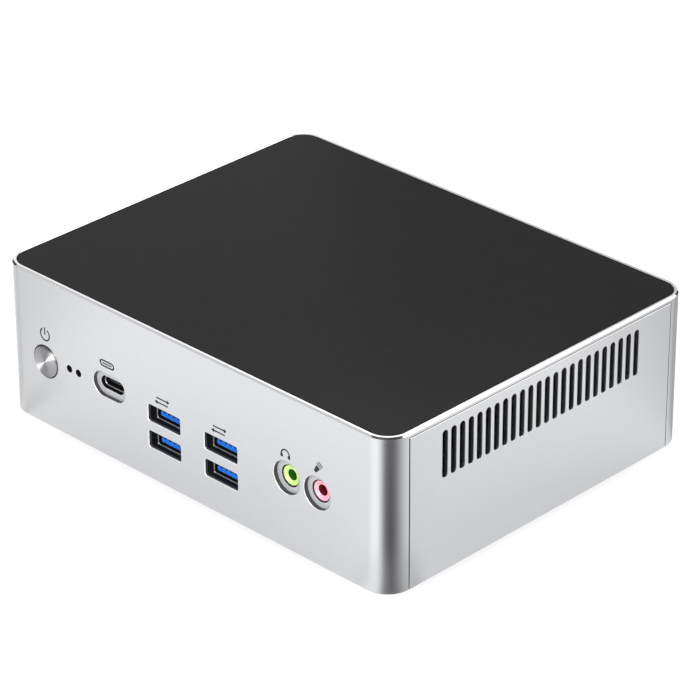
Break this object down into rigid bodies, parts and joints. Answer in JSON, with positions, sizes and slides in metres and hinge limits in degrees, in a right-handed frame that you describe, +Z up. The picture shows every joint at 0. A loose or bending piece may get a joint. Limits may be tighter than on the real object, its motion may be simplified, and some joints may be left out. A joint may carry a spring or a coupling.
{
  "type": "mini pc",
  "caption": "Compact desktop computer in a silver case with a black top, vented sides, a push power button, front and rear sockets, and a fan-cooled board inside.",
  "frame": {"origin": "centre of the bounding box, on the plane the feet stand on", "axes": "+X to the right seen from the front, +Y from the front face (power button, sockets) to the rear face, +Z up"},
  "size_m": [0.16, 0.1282, 0.052],
  "materials": {
    "anodised_silver": "bead-blasted and anodised, satin",
    "spun_metal": "spun face, bright",
    "panel_black": "smooth satin black",
    "black_plastic": "moulded, fine grain",
    "cover_paint": "fine textured powder coat",
    "foot_rubber": "matt",
    "steel": "zinc plated",
    "nickel_shell": "nickel plated sheet, satin",
    "blue_plastic": "moulded",
    "green_plastic": "moulded",
    "pink_plastic": "moulded",
    "smoked_plastic": "smoked, dark",
    "circuit_board": "solder mask, slightly glossy",
    "copper": "bare copper, satin",
    "contact_gold": "plated contacts"
  },
  "bodies": {
    "case": {"board_screw_front_left": "steel", "board_screw_front_right": "steel", "board_screw_rear_left": "steel", "board_screw_rear_right": "steel", "bottom_cover": "cover_paint", "button_spring": "steel", "case_frame": "anodised_silver", "clock_cell": "steel", "cold_plate": "copper", "cover_screw_front_left": "steel", "cover_screw_front_right": "steel", "cover_screw_rear_left": "steel", "cover_screw_rear_right": "steel", "dc_inlet": "black_plastic", "dc_inlet_pin": "nickel_shell", "display_port_shell": "nickel_shell", "display_port_tongue": "black_plastic", "drive_bracket": "steel", "drive_light_pipe": "smoked_plastic", "fan_housing": "black_plastic", "fin_stack": "steel", "foot_front_left": "foot_rubber", "foot_front_right": "foot_rubber", "foot_rear_left": "foot_rubber", "foot_rear_right": "foot_rubber", "front_usb_left_lower_tongue": "blue_plastic", "front_usb_left_shell": "nickel_shell", "front_usb_left_upper_tongue": "blue_plastic", "front_usb_right_lower_tongue": "blue_plastic", "front_usb_right_shell": "nickel_shell", "front_usb_right_upper_tongue": "blue_plastic", "hdmi_shell": "nickel_shell", "hdmi_tongue": "black_plastic", "headphone_jack": "green_plastic", "heat_pipe_inner": "copper", "heat_pipe_outer": "copper", "left_side_plate": "anodised_silver", "mainboard": "circuit_board", "memory_module_lower": "circuit_board", "memory_module_upper": "circuit_board", "memory_socket": "black_plastic", "microphone_jack": "pink_plastic", "network_contacts": "contact_gold", "network_socket": "nickel_shell", "power_light_pipe": "smoked_plastic", "power_switch": "black_plastic", "processor": "circuit_board", "radio_card": "circuit_board", "rear_usb_lower_tongue": "blue_plastic", "rear_usb_shell": "nickel_shell", "rear_usb_upper_tongue": "blue_plastic", "right_side_plate": "anodised_silver", "storage_card": "circuit_board", "storage_drive": "black_plastic", "top_panel": "panel_black", "usb_c_shell": "nickel_shell", "usb_c_tongue": "black_plastic"},
    "button": {"power_button": "spun_metal", "switch_plunger": "black_plastic"},
    "impeller": {"fan_impeller": "black_plastic"}
  },
  "joints": [
    {"name": "power_button_press", "type": "slide", "parent": "case", "child": "button", "axis": [0, 1, 0], "range_m": [0, 0.0005], "stiffness_N_per_m": 2000, "springref_m": -0.0005, "deforming": ["button_spring"]},
    {"name": "fan_spin", "type": "hinge", "parent": "case", "child": "impeller", "pos_m": [0.04, 0.014, 0.0376], "axis": [0, 0, 1], "continuous": true}
  ]
}
